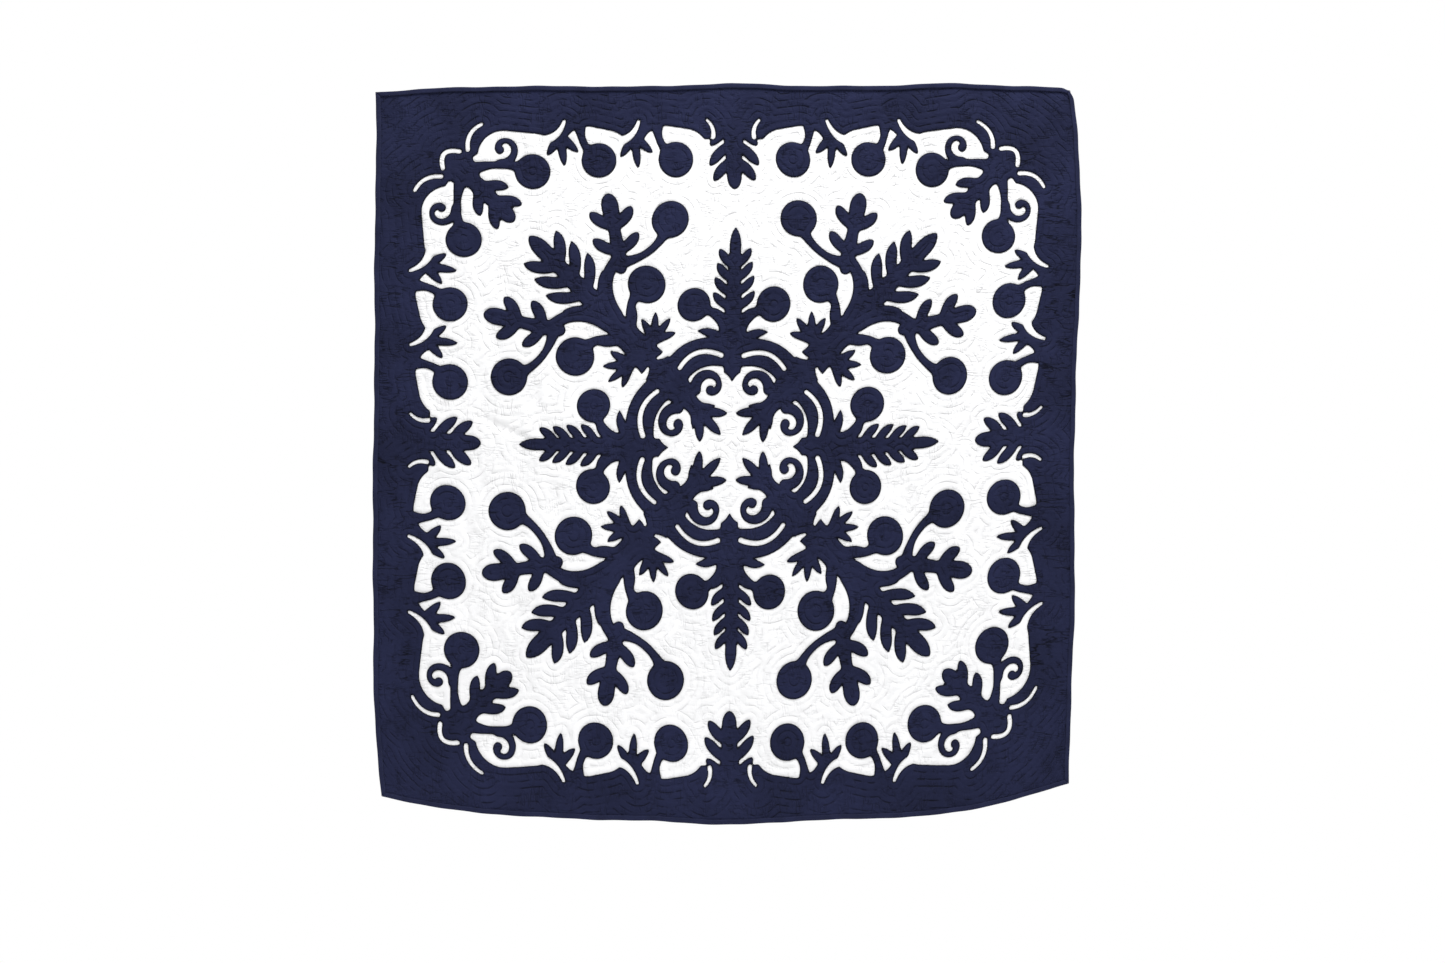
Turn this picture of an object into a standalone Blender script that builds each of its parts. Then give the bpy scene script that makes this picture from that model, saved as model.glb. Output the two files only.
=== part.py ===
"""Quilted wall hanging, navy cloth cut on the fold and sewn to a white quilted panel.

The pattern is drawn flat, in millimetres, on one eighth of a square, as a folded cloth is cut.
It is unfolded to the whole square, and every piece is then hung: moved from the flat square to
the slightly crowned, bowed and rippled shape in which the quilt hangs. X runs to the right, Z up,
and the front faces -Y. The origin is the middle of the top edge.
"""
from collections import namedtuple
from math import cos, pi, radians, sin

import bmesh
import bpy
import numpy as np
from mathutils import Vector
from mathutils.geometry import delaunay_2d_cdt

# Driving sizes of the flat quilt, in millimetres
HALF = 610.0
PANEL_THICK = 4.5
CHANNEL_DEEP = 1.2
CLOTH_THICK = 1.1
CLOTH_PUFF = 0.7
CLOTH_MARGIN = 1.0
LAYER_GAP = 0.6
BINDING_WIDE = 7.0
BINDING_THICK = 0.9
BINDING_GAP = 0.4
MITRE_GAP = 0.3

# How finely the outlines and sheets are divided
STEPS_PER_SIDE = 20
LOBE_STEPS = (0.0, 0.62, 0.86, 1.0)
STEM_STEPS = 5
FRUIT_SIDES = 12
CURL_STEPS = 8
OUTLINE_SLACK = 1.9
LONGEST_CHORD = 60.0
FEWEST_POINTS = 6
SMALLEST_HOLE = 60.0
FOLD_SLACK = 0.001
MEETING_SLACK = 0.02
FILL_PITCH = 48.0
FILL_CLEAR = 14.0

# The hung shape: where the cut edges lie, and how the cloth stands off the wall, in millimetres
SideRow = namedtuple("SideRow", "v left right")
SIDES = (
    SideRow(-610, -597, 597),
    SideRow(-500, -608, 600),
    SideRow(-290, -612, 608),
    SideRow(-90, -613, 607),
    SideRow(130, -610, 612),
    SideRow(330, -610, 620),
    SideRow(520, -607, 614),
    SideRow(610, -608, 605),
)
EdgeColumn = namedtuple("EdgeColumn", "u top bottom")
ENDS = (
    EdgeColumn(-610, -15, -1240),
    EdgeColumn(-520, -9, -1259),
    EdgeColumn(-390, -5, -1273),
    EdgeColumn(-260, -5, -1280),
    EdgeColumn(-130, -5, -1284),
    EdgeColumn(0, 0, -1290),
    EdgeColumn(130, -4, -1283),
    EdgeColumn(260, -4, -1279),
    EdgeColumn(390, 0, -1270),
    EdgeColumn(520, -5, -1243),
    EdgeColumn(610, -8, -1217),
)
PATTERN_SHIFT = 12.0
PATTERN_LIFT = 0.038
Ripple = namedtuple("Ripple", "height length slant phase")
RIPPLES = (
    Ripple(4.0, 760, 0.00, 0.7),
    Ripple(2.4, 540, -0.25, 2.2),
)
RIPPLE_AT_TOP = 0.15
CORNER_CURL = 9.0

# The motifs of the pattern, in millimetres and degrees
Lobe = namedtuple("Lobe", "x y angle length width bend")
Stem = namedtuple("Stem", "x0 y0 x1 y1 bow r0 r1")
Fruit = namedtuple("Fruit", "x y radius from_x from_y bow")
Leaf = namedtuple("Leaf", "x y angle length body pairs lobe width lean")
Palm = namedtuple("Palm", "x y angle lobes spread length width")
Curl = namedtuple("Curl", "x y start turns reach r0 r1")
LOBE_WIDEST = 0.62

# A spray on the diagonal: x runs outwards along the diagonal, y to its side
DIAGONAL_SPRAY = (
    Stem(90, 0, 165, 0, 0, 15, 27),
    Stem(165, 0, 345, 0, 0, 27, 14),
    Leaf(300, 0, 0, 196, 16, 4, 68, 18, 50),
    Palm(90, 0, 180, 5, 70, 62, 14),
    Lobe(262, 8, 46, 50, 15, 0.10),
    Fruit(298, 86, 32, 236, 8, -0.24),
    Palm(220, 20, 66, 4, 44, 60, 13),
    Stem(300, 8, 366, 88, -0.18, 15, 9),
    Leaf(348, 74, 34, 128, 13, 2, 54, 20, 54),
    Fruit(350, 192, 32, 356, 80, 0.16),
)
# A frond on the axis, and the web that joins it to the sprays: x runs outwards along the axis
AXIS_FROND = (
    Stem(124, 0, 200, 0, 0, 14, 18),
    Leaf(182, 0, 0, 182, 13, 5, 46, 12.5, 52),
    Fruit(238, 68, 29, 180, 10, -0.16),
    Lobe(170, 4, 68, 60, 15, -0.10),
)
WEB = (
    Stem(166, 4, 117, 117, -0.20, 11, 11),
    Stem(145, 4, 102, 102, -0.19, 13, 14),
)
WEB_POCKETS = (Stem(98, 28, 102, 37, 0, 29, 32),)
WEB_CURLS = (Curl(100, 38, 100, -0.80, 28, 10, 5.2),)
WEB_SLITS = (
    Stem(153, 20, 130, 92, -0.20, 4.2, 3.4),
    Stem(162, 110, 147, 130, 0.10, 8, 2.2),
)

# The frame of the whole, on the top side: x from the middle of the side, y up from the centre
FIELD_HALF = 517.0
FIELD_ROUND = 158.0
FIELD_BAYS = (
    Stem(88, 492, 118, 498, 0, 44, 44),
    Stem(222, 492, 252, 498, 0, 44, 44),
    Stem(344, 482, 396, 490, 0, 46, 44),
)
SIDE_GARLAND = (
    Leaf(0, 560, 270, 128, 17, 3, 58, 16, 52),
    Fruit(102, 484, 30, 132, 546, 0.14),
    Palm(174, 538, 264, 3, 32, 68, 14),
    Fruit(234, 484, 30, 266, 546, 0.14),
    Palm(302, 538, 262, 3, 31, 66, 14),
)
CORNER_SPRAY = (
    Stem(700, 0, 640, 0, 0, 46, 15),
    Leaf(640, 0, 180, 102, 14, 2, 54, 16, 44),
    Fruit(572, 82, 30, 648, 16, -0.08),
    Curl(636, 75, 233, -0.84, 26, 7.5, 4.6),
)
SIDE_SLITS = (
    Stem(36, 520, 46, 550, 0.14, 3.8, 2.4),
    Stem(212, 516, 164, 551, 0.18, 9, 2.6),
    Stem(340, 516, 292, 551, 0.18, 9, 2.6),
)
CORNER_SLITS = (
    Stem(686, -20, 686, 20, -0.40, 3.0, 3.0),
    Stem(678, 32, 692, 80, -0.18, 3.8, 2.8),
)

# The panel's sewn channels, as rings from the middle to the edge: a share of the half side,
# the height of the face there as a share of the channel's depth, and the sway of the ring
Ring = namedtuple("Ring", "reach height sway")
CHANNEL_RINGS = (
    Ring(0.12, 0, 0.00),
    Ring(0.22, -1, 0.06),
    Ring(0.32, 0, 0.06),
    Ring(0.42, -1, 0.05),
    Ring(0.50, 0, 0.05),
    Ring(0.57, -1, 0.04),
    Ring(0.605, 0, 0.04),
    Ring(0.635, -1, 0.035),
    Ring(0.675, 0, 0.03),
    Ring(0.715, -1, 0.025),
    Ring(0.755, 0, 0.02),
    Ring(0.795, -1, 0.015),
    Ring(0.85, 0, 0.00),
    Ring(0.925, 0, 0.00),
)
BACK_RINGS = (0.75, 0.45, 0.20)
EDGE_ROUND = 1.2

Finish = namedtuple("Finish", "colour roughness")
WHITE_COTTON = Finish((0.94, 0.94, 0.95, 1.0), 0.85)
NAVY_COTTON = Finish((0.020, 0.023, 0.052, 1.0), 0.80)


def clear_scene():
    for obj in list(bpy.data.objects):
        bpy.data.objects.remove(obj, do_unlink=True)


# Outlines of the motifs


def bowed(x0, y0, x1, y1, bow, steps):
    """Points from one end to the other on a parabola, whose middle stands off by bow of its length."""
    t = np.asarray(steps)[:, None]
    start = np.array([x0, y0], float)
    run = np.array([x1, y1], float) - start
    across = np.array([-run[1], run[0]])
    return start + run * t + across * (4 * bow * t * (1 - t))


def band(line, radius, capped=True):
    """The outline of a stroke: its line widened to both sides by the radius at each point."""
    along = np.gradient(line, axis=0)
    along /= np.linalg.norm(along, axis=1)[:, None]
    side = np.stack([-along[:, 1], along[:, 0]], 1) * np.asarray(radius, float)[:, None]
    left = line + side
    right = (line - side)[::-1]
    if not capped:
        return np.concatenate([left[:-1], line[-1:], right[1:]])
    nose = line[-1:] + along[-1:] * radius[-1]
    tail = line[:1] - along[:1] * radius[0]
    return np.concatenate([left, nose, right, tail])


def lobe_outlines(m):
    """A pointed lobe, widest a little past its middle."""
    steps = np.array(LOBE_STEPS)
    tip_x = m.x + m.length * cos(radians(m.angle))
    tip_y = m.y + m.length * sin(radians(m.angle))
    line = bowed(m.x, m.y, tip_x, tip_y, m.bend, steps)
    rise = 0.56 + 0.44 * np.sin(pi / 2 * np.minimum(steps / LOBE_WIDEST, 1))
    fall = 1 - 0.90 * np.clip((steps - LOBE_WIDEST) / (1 - LOBE_WIDEST), 0, 1) ** 2.2
    return [band(line, m.width / 2 * rise * fall, capped=False)]


def stem_outlines(m):
    """A bowed stem that tapers from one end to the other, with blunt ends."""
    steps = np.linspace(0, 1, 2 if m.bow == 0 else STEM_STEPS)
    line = bowed(m.x0, m.y0, m.x1, m.y1, m.bow, steps)
    return [band(line, m.r0 + (m.r1 - m.r0) * steps)]


def fruit_outlines(m):
    """A round fruit and the stem that carries it."""
    turn = np.arange(FRUIT_SIDES) * 2 * pi / FRUIT_SIDES
    disc = np.stack([m.x + m.radius * np.cos(turn), m.y + m.radius * np.sin(turn)], 1)
    steps = np.linspace(0, 1, STEM_STEPS)
    line = bowed(m.from_x, m.from_y, m.x, m.y, m.bow, steps)
    return [disc, band(line, np.interp(steps, (0, 0.3, 0.62, 1), (11.0, 6.4, 6.8, 13.0)))]


def leaf_outlines(m):
    """A midrib with pairs of lobes, smaller at both ends, and one lobe at its tip."""
    way = np.array([cos(radians(m.angle)), sin(radians(m.angle))])
    root = np.array([m.x, m.y], float)
    steps = np.array([0, 0.25, 0.74])
    body = m.body * np.interp(steps, (0, 0.22, 0.74), (0.75, 1.0, 0.62))
    outlines = [band(root + way * m.length * steps[:, None], body)]
    for pair in range(m.pairs):
        base = root + way * m.length * (0.06 + 0.66 * (pair + 0.5) / m.pairs)
        size = np.interp(pair / max(m.pairs - 1, 1), (0, 0.35, 1), (0.88, 1.0, 0.86))
        lean = m.lean - 12 * pair / m.pairs
        for side in (1, -1):
            outlines += lobe_outlines(
                Lobe(base[0], base[1], m.angle + side * lean, m.lobe * size, m.width, side * 0.07))
    base = root + way * m.length * 0.60
    outlines += lobe_outlines(Lobe(base[0], base[1], m.angle, m.length * 0.40, m.width * 1.45, 0))
    return outlines


def palm_outlines(m):
    """A hand of lobes that fan out from one root."""
    outlines = []
    for finger in range(m.lobes):
        f = 2 * finger / (m.lobes - 1) - 1
        length = m.length * (1 - 0.22 * abs(f))
        outlines += lobe_outlines(Lobe(m.x, m.y, m.angle + f * m.spread, length, m.width, -0.06 * f))
    return outlines


def curl_outlines(m):
    """A tendril that winds in to a thicker eye."""
    steps = np.linspace(0, 1, CURL_STEPS)
    turn = radians(m.start) + 2 * pi * m.turns * steps
    reach = m.reach * (1 - 0.78 * steps)
    line = np.stack([m.x + reach * np.cos(turn), m.y + reach * np.sin(turn)], 1)
    return [band(line, np.interp(steps, (0, 0.55, 0.85, 1), (m.r0, m.r1, m.r1 * 1.35, m.r1 * 1.6)))]


OUTLINES = {
    Lobe: lobe_outlines,
    Stem: stem_outlines,
    Fruit: fruit_outlines,
    Leaf: leaf_outlines,
    Palm: palm_outlines,
    Curl: curl_outlines,
}


def outlines_of(table):
    return [outline for motif in table for outline in OUTLINES[type(motif)](motif)]


def on_diagonal(table):
    """Outlines given along the diagonal, as both mirror images about it."""
    half = 0.5 ** 0.5
    placed = []
    for outline in outlines_of(table):
        for side in (1, -1):
            x = outline[:, 0]
            y = outline[:, 1] * side
            placed.append(np.stack([(x - y) * half, (x + y) * half], 1))
    return placed


def on_axis(table):
    """Outlines given along an axis, placed on the upright axis and on the level one."""
    placed = []
    for outline in outlines_of(table):
        for side in (1, -1):
            placed.append(np.stack([outline[:, 1] * side, outline[:, 0]], 1))
            placed.append(np.stack([outline[:, 0], outline[:, 1] * side], 1))
    return placed


def on_side(table):
    """Outlines given on the top side, placed there and on the right side."""
    placed = []
    for outline in outlines_of(table):
        for side in (1, -1):
            placed.append(outline * [side, 1])
            placed.append(outline[:, ::-1] * [1, side])
    return placed


def field_square():
    """The white field: a square with rounded corners."""
    middle = FIELD_HALF - FIELD_ROUND
    turn = np.radians(np.linspace(0, 90, 7))
    corner = middle + FIELD_ROUND * np.stack([np.cos(turn), np.sin(turn)], 1)
    return np.concatenate([corner, corner[:, ::-1] * [-1, 1], -corner, corner[:, ::-1] * [1, -1]])


# Cutting on the fold


def signed_area(loop):
    """The loop's area, positive where it runs anticlockwise."""
    x, y = loop.T
    return (np.dot(x, np.roll(y, -1)) - np.dot(y, np.roll(x, -1))) / 2


def cut_on_fold(keep_rule, groups, half):
    """Edges of the cloth that is kept in one eighth, without its folds and its outer edge.

    groups maps a name to outlines; keep_rule gets the names whose outlines cover a triangle.
    """
    wedge = np.array([[0, 0], [half, half], [0, half]], float)
    points = [Vector(p) for p in wedge]
    faces = [[0, 1, 2]]
    names = ["wedge"]
    for name, outlines in groups.items():
        for outline in outlines:
            reach = outline.max(0)
            if reach[1] < 0 or reach[0] < 0 or (outline[:, 0] - outline[:, 1]).min() > 0:
                continue
            if signed_area(outline) < 0:
                outline = outline[::-1]
            faces.append(list(range(len(points), len(points) + len(outline))))
            points += [Vector(p) for p in outline]
            names.append(name)
    verts, _, tris, _, _, sources = delaunay_2d_cdt(points, [], faces, 0, 1e-5, True)
    uses = {}
    for tri, source in zip(tris, sources):
        covers = {names[i] for i in source}
        if "wedge" not in covers or not keep_rule(covers):
            continue
        for a, b in zip(tri, tri[1:] + tri[:1]):
            uses.setdefault((min(a, b), max(a, b)), []).append((a, b))
    edges = []
    for used in uses.values():
        p, q = (np.array(verts[i]) for i in used[0])
        on_axis_fold = max(p[0], q[0]) < FOLD_SLACK
        on_diagonal_fold = max(abs(p[0] - p[1]), abs(q[0] - q[1])) < FOLD_SLACK
        on_rim = min(p[1], q[1]) > half - FOLD_SLACK
        if len(used) == 1 and not (on_axis_fold or on_diagonal_fold or on_rim):
            edges.append((p, q))
    return edges


def unfold(edges):
    """Closed loops of the whole cloth, chained from the edges of one eighth and their mirror images."""
    links = {}
    spots = {}
    for swap in (False, True):
        for sx in (1, -1):
            for sy in (1, -1):
                for p, q in edges:
                    ends = []
                    for point in (p, q):
                        placed = (point[::-1] if swap else point) * [sx, sy]
                        key = tuple(np.rint(placed / MEETING_SLACK).astype(int).tolist())
                        spots.setdefault(key, placed)
                        ends.append(key)
                    if ends[0] != ends[1]:
                        links.setdefault(ends[0], set()).add(ends[1])
                        links.setdefault(ends[1], set()).add(ends[0])
    loops = []
    while links:
        first = next(iter(links))
        loop = [first]
        here = links[first].pop()
        links[here].discard(first)
        while here != first:
            loop.append(here)
            onward = links[here].pop()
            links[onward].discard(here)
            if not links[here]:
                del links[here]
            here = onward
        if not links[first]:
            del links[first]
        loops.append(np.array([spots[key] for key in loop]))
    return loops


def thinned(loop):
    """The loop without the points that stand off their neighbours' line by less than the slack."""
    points = [p for p in loop]
    changed = True
    while changed:
        changed = False
        i = 0
        while i < len(points) and len(points) > FEWEST_POINTS:
            a, b, c = points[i - 1], points[i], points[(i + 1) % len(points)]
            chord = c - a
            length = np.hypot(*chord)
            off = abs(chord[0] * (b[1] - a[1]) - chord[1] * (b[0] - a[0])) / max(length, 1e-9)
            if off < OUTLINE_SLACK and length < LONGEST_CHORD:
                points.pop(i)
                changed = True
                i += 1
            i += 1
    return np.array(points)


def inside(points, loops):
    """Whether each point is inside an odd number of loops."""
    odd = np.zeros(len(points), bool)
    for loop in loops:
        a = loop
        b = np.roll(loop, -1, axis=0)
        x, y = points[:, 0][:, None], points[:, 1][:, None]
        spans = (a[:, 1] > y) != (b[:, 1] > y)
        with np.errstate(divide="ignore", invalid="ignore"):
            cross = a[:, 0] + (y - a[:, 1]) / (b[:, 1] - a[:, 1]) * (b[:, 0] - a[:, 0])
        odd ^= ((spans & (x < cross)).sum(1) % 2).astype(bool)
    return odd


def fill_points(loops):
    """Points on an even grid inside the cloth, clear of its cut edges."""
    count = int(HALF / FILL_PITCH)
    axis = np.arange(-count, count + 1) * FILL_PITCH
    grid = np.stack(np.meshgrid(axis, axis), -1).reshape(-1, 2)
    grid = grid[inside(grid, loops)]
    clear = np.full(len(grid), True)
    for loop in loops:
        start = loop
        run = np.roll(loop, -1, axis=0) - loop
        to = grid[:, None] - start
        t = np.clip((to * run).sum(2) / (run ** 2).sum(1), 0, 1)
        clear &= np.linalg.norm(to - run * t[..., None], axis=2).min(1) > FILL_CLEAR
    return grid[clear]


def cut_cloth(loops, bottom):
    """The cloth inside the loops as a flat solid, its inner points a little higher than its edges."""
    extra = fill_points(loops)
    points = []
    edges = []
    for loop in loops:
        first = len(points)
        count = len(loop)
        points += [Vector(p) for p in loop]
        edges += [(first + i, first + (i + 1) % count) for i in range(count)]
    rim = len(points)
    points += [Vector(p) for p in extra]
    verts, _, tris, origin, _, _ = delaunay_2d_cdt(points, edges, [], 0, 1e-6, True)
    flat = np.array([v[:] for v in verts])
    middles = flat[np.array(tris)].mean(1)
    kept = np.array(tris)[inside(middles, loops)]
    puffed = [bool(source) and min(source) >= rim for source in origin]
    bm = bmesh.new()
    puff_layer = bm.verts.layers.int.new("puff")
    made = {}
    for i in sorted(set(kept.ravel())):
        made[i] = bm.verts.new((flat[i][0], flat[i][1], bottom))
        made[i][puff_layer] = puffed[i]
    for tri in kept:
        bm.faces.new([made[i] for i in tri])
    bm.normal_update()
    for face in bm.faces:
        if face.normal.z > 0:
            face.normal_flip()
    grown = bmesh.ops.extrude_face_region(bm, geom=bm.faces[:], use_keep_orig=True)
    front = [item for item in grown["geom"] if isinstance(item, bmesh.types.BMVert)]
    for vert in front:
        vert.co.z += CLOTH_THICK + CLOTH_PUFF * vert[puff_layer]
    bmesh.ops.recalc_face_normals(bm, faces=bm.faces[:])
    return bm


# Hanging the flat pieces


def smooth_curve(x, xs, ys):
    """A smooth curve through a table's points, by cubic spans with averaged slopes."""
    xs = np.asarray(xs, float)
    ys = np.asarray(ys, float)
    slope = np.gradient(ys, xs)
    x = np.clip(x, xs[0] - 5, xs[-1] + 5)
    i = np.clip(np.searchsorted(xs, x) - 1, 0, len(xs) - 2)
    width = xs[i + 1] - xs[i]
    t = (x - xs[i]) / width
    return (
        ys[i] * (1 + 2 * t) * (1 - t) ** 2
        + slope[i] * width * t * (1 - t) ** 2
        + ys[i + 1] * t * t * (3 - 2 * t)
        + slope[i + 1] * width * t * t * (t - 1)
    )


def hung(points):
    """Moves points from the flat quilt (across, up, out of its back) to the hanging one, in metres."""
    u, v, out = np.asarray(points, float).T
    left = smooth_curve(v, [r.v for r in SIDES], [r.left for r in SIDES])
    right = smooth_curve(v, [r.v for r in SIDES], [r.right for r in SIDES])
    across = (u / HALF + 1) / 2
    x = left + (right - left) * across + PATTERN_SHIFT * (1 - (u / HALF) ** 2)
    top = smooth_curve(u, [c.u for c in ENDS], [c.top for c in ENDS])
    bottom = smooth_curve(u, [c.u for c in ENDS], [c.bottom for c in ENDS])
    down = (1 - v / HALF) / 2
    z = top + (bottom - top) * (down - PATTERN_LIFT * down * (1 - down))
    swing = sum(r.height * np.sin(2 * pi * (u + r.slant * v) / r.length + r.phase) for r in RIPPLES)
    swing = swing * (RIPPLE_AT_TOP + (1 - RIPPLE_AT_TOP) * down)
    swing = swing - CORNER_CURL * np.clip(down, 0, 1) ** 3 * (u / HALF) ** 4
    return np.stack([x, swing - out, z], 1) * 0.001


def hang(bm):
    """Hangs every point of a flat piece. The flat height becomes the way out of the wall."""
    flat = [vert.co[:] for vert in bm.verts]
    for vert, place in zip(bm.verts, hung(flat)):
        vert.co = place
    bmesh.ops.recalc_face_normals(bm, faces=bm.faces[:])


def place_node(name, bm, material):
    """Turns the bmesh into the named object, with its material and smooth faces."""
    mesh = bpy.data.meshes.new(name)
    bmesh.ops.triangulate(bm, faces=bm.faces[:])
    bm.to_mesh(mesh)
    bm.free()
    mesh.shade_smooth()
    mesh.set_sharp_from_angle(angle=radians(40))
    mesh.materials.append(material)
    obj = bpy.data.objects.new(name, mesh)
    bpy.context.scene.collection.objects.link(obj)
    return obj


def cotton(name, finish):
    """A plain woven cotton."""
    material = bpy.data.materials.new(name)
    material.use_nodes = True
    shader = material.node_tree.nodes["Principled BSDF"]
    shader.inputs["Base Color"].default_value = finish.colour
    shader.inputs["Roughness"].default_value = finish.roughness
    shader.inputs["Metallic"].default_value = 0.0
    return material


# The pieces


def perimeter():
    """Directions around a square, as even steps along its sides, the corners among them."""
    steps = np.arange(STEPS_PER_SIDE) * 2 / STEPS_PER_SIDE - 1
    ones = np.ones(STEPS_PER_SIDE)
    top = np.stack([-steps, ones], 1)
    left = np.stack([-ones, -steps], 1)
    bottom = np.stack([steps, -ones], 1)
    right = np.stack([ones, steps], 1)
    return np.concatenate([top, left, bottom, right])


def make_panel():
    """White top, filling and back as one filled sheet, with sewn channels on its front."""
    way = perimeter()
    turn = np.arctan2(way[:, 1], way[:, 0])
    rows = []
    for ring in CHANNEL_RINGS:
        reach = HALF * ring.reach * (1 + ring.sway * np.cos(8 * turn))
        rows.append((reach, PANEL_THICK + CHANNEL_DEEP * ring.height))
    rows.append((HALF - EDGE_ROUND, PANEL_THICK))
    rows.append((HALF, PANEL_THICK - EDGE_ROUND))
    rows.append((HALF, EDGE_ROUND))
    rows.append((HALF - EDGE_ROUND, 0.0))
    rows += [(HALF * reach, 0.0) for reach in BACK_RINGS]
    bm = bmesh.new()
    loops = []
    for reach, height in rows:
        flat = way * np.broadcast_to(reach, len(way))[:, None]
        loops.append([bm.verts.new((p[0], p[1], height)) for p in flat])
    for inner, outer in zip(loops, loops[1:]):
        for i in range(len(way)):
            j = (i + 1) % len(way)
            bm.faces.new((inner[i], inner[j], outer[j], outer[i]))
    for loop, height in ((loops[0], PANEL_THICK), (loops[-1], 0.0)):
        middle = bm.verts.new((0, 0, height))
        for i in range(len(way)):
            bm.faces.new((loop[i], loop[(i + 1) % len(way)], middle))
    hang(bm)
    return bm


def make_border():
    """The navy frame, cut on the fold with its inner garland."""
    half = HALF - CLOTH_MARGIN
    groups = {
        "field": [field_square()] + on_side(FIELD_BAYS),
        "garland": on_side(SIDE_GARLAND) + on_diagonal(CORNER_SPRAY),
        "slit": on_side(SIDE_SLITS) + on_diagonal(CORNER_SLITS),
    }

    def keep(covers):
        return "slit" not in covers and ("garland" in covers or "field" not in covers)

    loops = [thinned(loop) for loop in unfold(cut_on_fold(keep, groups, half))]
    loops = [loop for loop in loops if abs(signed_area(loop)) > SMALLEST_HOLE]
    bm = cut_cloth([perimeter() * half] + loops, PANEL_THICK + LAYER_GAP)
    hang(bm)
    return bm


def make_medallion():
    """The navy medallion: four sprays, four fronds and the web that joins them, in one cut."""
    groups = {
        "motif": on_diagonal(DIAGONAL_SPRAY) + on_axis(AXIS_FROND) + on_axis(WEB),
        "pocket": on_axis(WEB_POCKETS) + on_axis(WEB_SLITS),
        "curl": on_axis(WEB_CURLS),
    }

    def keep(covers):
        return "curl" in covers or ("motif" in covers and "pocket" not in covers)

    loops = [thinned(loop) for loop in unfold(cut_on_fold(keep, groups, HALF))]
    loops = [loop for loop in loops if abs(signed_area(loop)) > SMALLEST_HOLE]
    bm = cut_cloth(loops, PANEL_THICK + LAYER_GAP)
    hang(bm)
    return bm


def binding_section():
    """The folded strip's section, as reach from the quilt's middle and height off its back."""
    back = -BINDING_GAP
    front = PANEL_THICK + LAYER_GAP + CLOTH_THICK + BINDING_GAP
    wall = HALF + BINDING_GAP
    lip = HALF - BINDING_WIDE
    thick = BINDING_THICK
    return (
        (lip, front),
        (lip, front + thick),
        (wall, front + thick),
        (wall + thick, front),
        (wall + thick, back),
        (wall, back - thick),
        (lip, back - thick),
        (lip, back),
        (wall, back),
        (wall, front),
    )


def make_binding(quarter_turns):
    """One strip of binding, folded round the panel's edge, with mitred ends."""
    section = binding_section()
    turned = (1, 0), (0, 1), (-1, 0), (0, -1)
    c, s = turned[quarter_turns]
    bm = bmesh.new()
    rows = []
    for step in np.linspace(-1, 1, STEPS_PER_SIDE + 1):
        row = []
        for reach, height in section:
            x, y = step * (reach - MITRE_GAP), reach
            row.append(bm.verts.new((x * c - y * s, x * s + y * c, height)))
        rows.append(row)
    count = len(section)
    for near, far in zip(rows, rows[1:]):
        for i in range(count):
            j = (i + 1) % count
            bm.faces.new((near[i], near[j], far[j], far[i]))
    bm.faces.new(rows[0])
    bm.faces.new(rows[-1][::-1])
    hang(bm)
    return bm


def main():
    clear_scene()
    place_node("quilt_panel", make_panel(), cotton("white_cotton", WHITE_COTTON))
    place_node("border_applique", make_border(), cotton("navy_border_cotton", NAVY_COTTON))
    place_node("medallion_applique", make_medallion(), cotton("navy_medallion_cotton", NAVY_COTTON))
    navy_tape = cotton("navy_binding_cotton", NAVY_COTTON)
    for quarter_turns, side in enumerate(("top", "left", "bottom", "right")):
        place_node("binding_" + side, make_binding(quarter_turns), navy_tape)


main()
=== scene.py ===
# %% [markdown]
# A quilted wall hanging, 1.22 m wide, in two cottons. Two navy cloths, a border and a medallion,
# are folded in eight, cut like paper stars, opened, and sewn by hand to a white cloth. White top,
# wadding and white backing are then quilted together in rows that echo the cut edges, and navy
# strips bind the rim. This lesson makes the same pieces from a pattern in short tables, the shape
# in which it hangs, sheets cut to the pattern, and the quilting as relief.

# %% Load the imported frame
from collections import namedtuple
from math import cos, pi, radians, sin

import bpy
import numpy as np
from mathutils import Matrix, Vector
from mathutils.geometry import delaunay_2d_cdt


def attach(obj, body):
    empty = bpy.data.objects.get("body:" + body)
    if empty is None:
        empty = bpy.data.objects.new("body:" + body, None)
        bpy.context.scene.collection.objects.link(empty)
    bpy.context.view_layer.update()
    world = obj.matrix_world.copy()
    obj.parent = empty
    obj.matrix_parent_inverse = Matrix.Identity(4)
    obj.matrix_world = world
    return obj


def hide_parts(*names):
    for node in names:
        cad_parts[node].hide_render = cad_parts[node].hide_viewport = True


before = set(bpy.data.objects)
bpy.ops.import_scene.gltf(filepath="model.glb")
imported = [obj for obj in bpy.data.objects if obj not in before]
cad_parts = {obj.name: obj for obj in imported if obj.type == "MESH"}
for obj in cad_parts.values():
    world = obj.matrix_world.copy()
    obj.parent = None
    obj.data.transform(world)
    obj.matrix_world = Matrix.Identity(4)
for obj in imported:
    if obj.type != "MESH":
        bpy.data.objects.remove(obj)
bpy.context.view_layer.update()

print("nodes in the frame:", ", ".join(sorted(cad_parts)))

# %% [markdown]
# The quilt is worked out flat first, as it is made on a table. A flat point has u across and v
# up, both in millimetres from the middle, and a height off the back of the quilt. The cloth's
# lengths are all in millimetres, as on a tape measure, and hanging it turns them into metres.

# %% Sizes of the flat quilt
HALF = 610.0
BINDING_WIDE = 7.0
BINDING_GAP = 0.4
ROW_PITCH = 11.5
ONE_MM = 0.001
print(f"flat quilt {2 * HALF:.0f} mm square, rows {ROW_PITCH} mm apart")

# %% [markdown]
# The pattern is eight times one wedge, as folded cloth is cut. Each motif is built from strokes:
# a line, and a radius for each of its points. A breadfruit leaf is a midrib with pairs of lobes,
# a fruit is a disc on a stem, and a tendril is a line that winds in. Tables of such
# motifs are shorter than outlines, and they can be changed one number at a time.

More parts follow.
